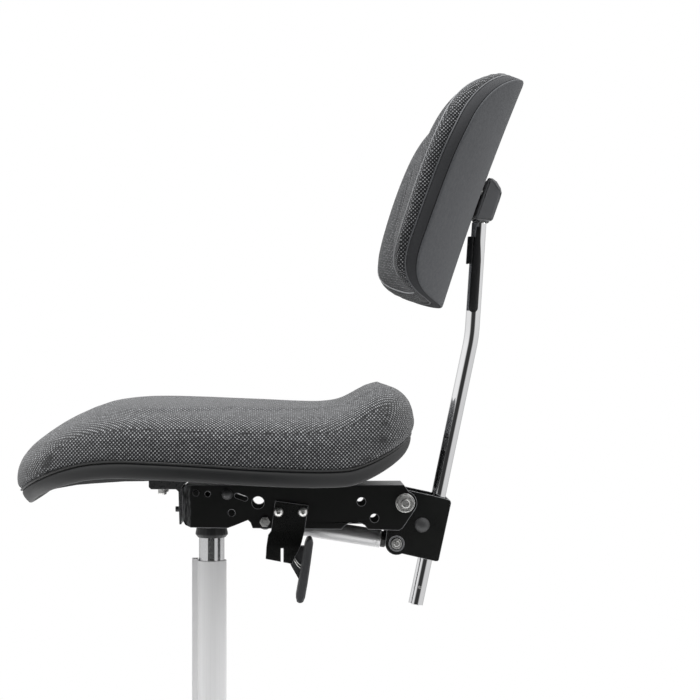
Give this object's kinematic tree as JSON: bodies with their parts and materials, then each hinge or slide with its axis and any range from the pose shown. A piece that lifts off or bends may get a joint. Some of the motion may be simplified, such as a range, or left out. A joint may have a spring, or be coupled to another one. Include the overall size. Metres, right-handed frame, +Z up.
{
  "type": "drum throne",
  "caption": "Height-adjustable saddle seat on a gas column with star base, and a wrap-around backrest on a tilting, clamped rod.",
  "frame": {"origin": "on the floor, under the column's axis and in the middle of the overall footprint", "axes": "+Z up, -X towards the front of the seat, +Y to the side that carries the height lever"},
  "size_m": [0.6832, 0.651, 0.8601],
  "materials": {
    "satin_aluminium": "satin, cast",
    "satin_steel": "satin, drawn tube",
    "chrome": "polished plating",
    "zinc": "bright zinc plating",
    "black_coat": "fine-textured satin powder coat",
    "black_plastic": "moulded, matt",
    "grey_plastic": "moulded, matt",
    "black_rubber": "matt",
    "rear_cover": "fine close-textured cover",
    "tweed": "basket weave with light points"
  },
  "bodies": {
    "base": {"star_base": "satin_aluminium", "glide_foot_1": "black_plastic", "glide_foot_2": "black_plastic", "glide_foot_3": "black_plastic", "glide_foot_4": "black_plastic", "glide_foot_5": "black_plastic", "column_outer_tube": "satin_steel", "guide_bush": "black_plastic", "column_foot_plate": "zinc", "thrust_bearing": "satin_steel"},
    "column_rod": {"piston_rod": "chrome", "bump_stop": "black_rubber", "retaining_clip": "zinc"},
    "seat_frame": {"gas_cylinder": "satin_steel", "cone_collar": "black_plastic", "cone_socket": "black_coat", "main_channel": "black_coat", "front_flange": "black_coat", "seat_mount_plate": "black_coat", "seat_bolt_front_left": "zinc", "seat_bolt_front_right": "zinc", "seat_bolt_rear_left": "zinc", "seat_bolt_rear_right": "zinc", "pivot_bolt": "zinc", "pivot_washer": "zinc", "pivot_nut": "zinc", "spring_front_bolt": "zinc", "spring_front_nut": "zinc", "lever_bracket": "black_coat", "lever_screw_front": "zinc", "lever_screw_rear": "zinc", "seat_shell": "black_plastic", "seat_trim": "black_rubber", "seat_cushion": "tweed"},
    "release_button": {"release_button": "chrome"},
    "height_lever": {"height_lever": "black_coat", "height_lever_grip": "black_plastic"},
    "tilt_lever": {"tilt_lever": "grey_plastic"},
    "tilt_bracket": {"tilt_bracket": "black_coat", "rod_guide": "black_plastic", "clamp_bolt": "black_coat", "pivot_sleeve": "satin_steel", "spring_rear_pin": "zinc"},
    "clamp_knob": {"clamp_knob": "black_plastic"},
    "spring_cylinder": {"spring_cylinder": "satin_steel", "spring_rear_eye": "black_coat"},
    "spring_rod": {"spring_rod": "chrome", "spring_front_eye": "black_coat"},
    "backrest_post": {"backrest_rod": "chrome", "rod_stop_pin": "zinc", "rod_head_lug": "zinc", "rod_strip": "black_plastic"},
    "rod_button": {"rod_button": "black_plastic"},
    "backrest_pad": {"joint_housing": "black_plastic", "housing_screw_left": "zinc", "housing_screw_right": "zinc", "pad_pivot_pin": "zinc", "back_shell": "rear_cover", "backrest_rim": "black_rubber", "backrest_cushion": "tweed"}
  },
  "joints": [
    {"name": "column_swivel", "type": "hinge", "parent": "base", "child": "column_rod", "pos_m": [0, 0, 0.05], "axis": [0, 0, 1], "continuous": true},
    {"name": "seat_height", "type": "slide", "parent": "column_rod", "child": "seat_frame", "axis": [0, 0, 1], "range_m": [-0.02, 0.11]},
    {"name": "backrest_tilt", "type": "hinge", "parent": "seat_frame", "child": "tilt_bracket", "pos_m": [0.2107, 0, 0.3954], "axis": [0, 1, 0], "range_deg": [-28, 22]},
    {"name": "tilt_spring_pivot", "type": "hinge", "parent": "tilt_bracket", "child": "spring_cylinder", "pos_m": [0.2017, 0, 0.351], "axis": [0, 1, 0], "range_deg": [-23, 29]},
    {"name": "tilt_spring_stroke", "type": "slide", "parent": "spring_cylinder", "child": "spring_rod", "axis": [-0.9881, 0, 0.1536], "range_m": [-0.018, 0.023]},
    {"name": "clamp_knob_turn", "type": "hinge", "parent": "tilt_bracket", "child": "clamp_knob", "pos_m": [0.2295, 0, 0.3713], "axis": [0, 1, 0], "range_deg": [-30, 330]},
    {"name": "backrest_height", "type": "slide", "parent": "tilt_bracket", "child": "backrest_post", "axis": [0.2056, 0, 0.9786], "range_m": [-0.055, 0.03]},
    {"name": "rod_button_press", "type": "slide", "parent": "backrest_post", "child": "rod_button", "axis": [0.9723, 0.225, -0.0638], "range_m": [0, 0.001], "stiffness_N_per_m": 800, "springref_m": -0.001},
    {"name": "pad_tilt", "type": "hinge", "parent": "backrest_post", "child": "backrest_pad", "pos_m": [0.302, 0, 0.722], "axis": [0, 1, 0], "range_deg": [0, 12]},
    {"name": "tilt_lever_swing", "type": "hinge", "parent": "seat_frame", "child": "tilt_lever", "pos_m": [0.086, 0, 0.3425], "axis": [0, 1, 0], "range_deg": [0, 15], "stiffness_Nm_per_rad": 0.6, "springref_deg": -5.73},
    {"name": "height_lever_swing", "type": "hinge", "parent": "seat_frame", "child": "height_lever", "pos_m": [-0.0158, 0, 0.4062], "axis": [0, 1, 0], "range_deg": [0, 14.5], "stiffness_Nm_per_rad": 1.2, "springref_deg": -5.73},
    {"name": "release_press", "type": "slide", "parent": "seat_frame", "child": "release_button", "axis": [0, 0, -1], "range_m": [0, 0.0045]}
  ],
  "couplings": [
    {"joint": "tilt_spring_pivot", "follows": "backrest_tilt", "ratio": -1},
    {"joint": "tilt_spring_stroke", "follows": "backrest_tilt", "m_per_rad": -0.0437},
    {"joint": "release_press", "follows": "height_lever_swing", "m_per_rad": 0.0168}
  ]
}
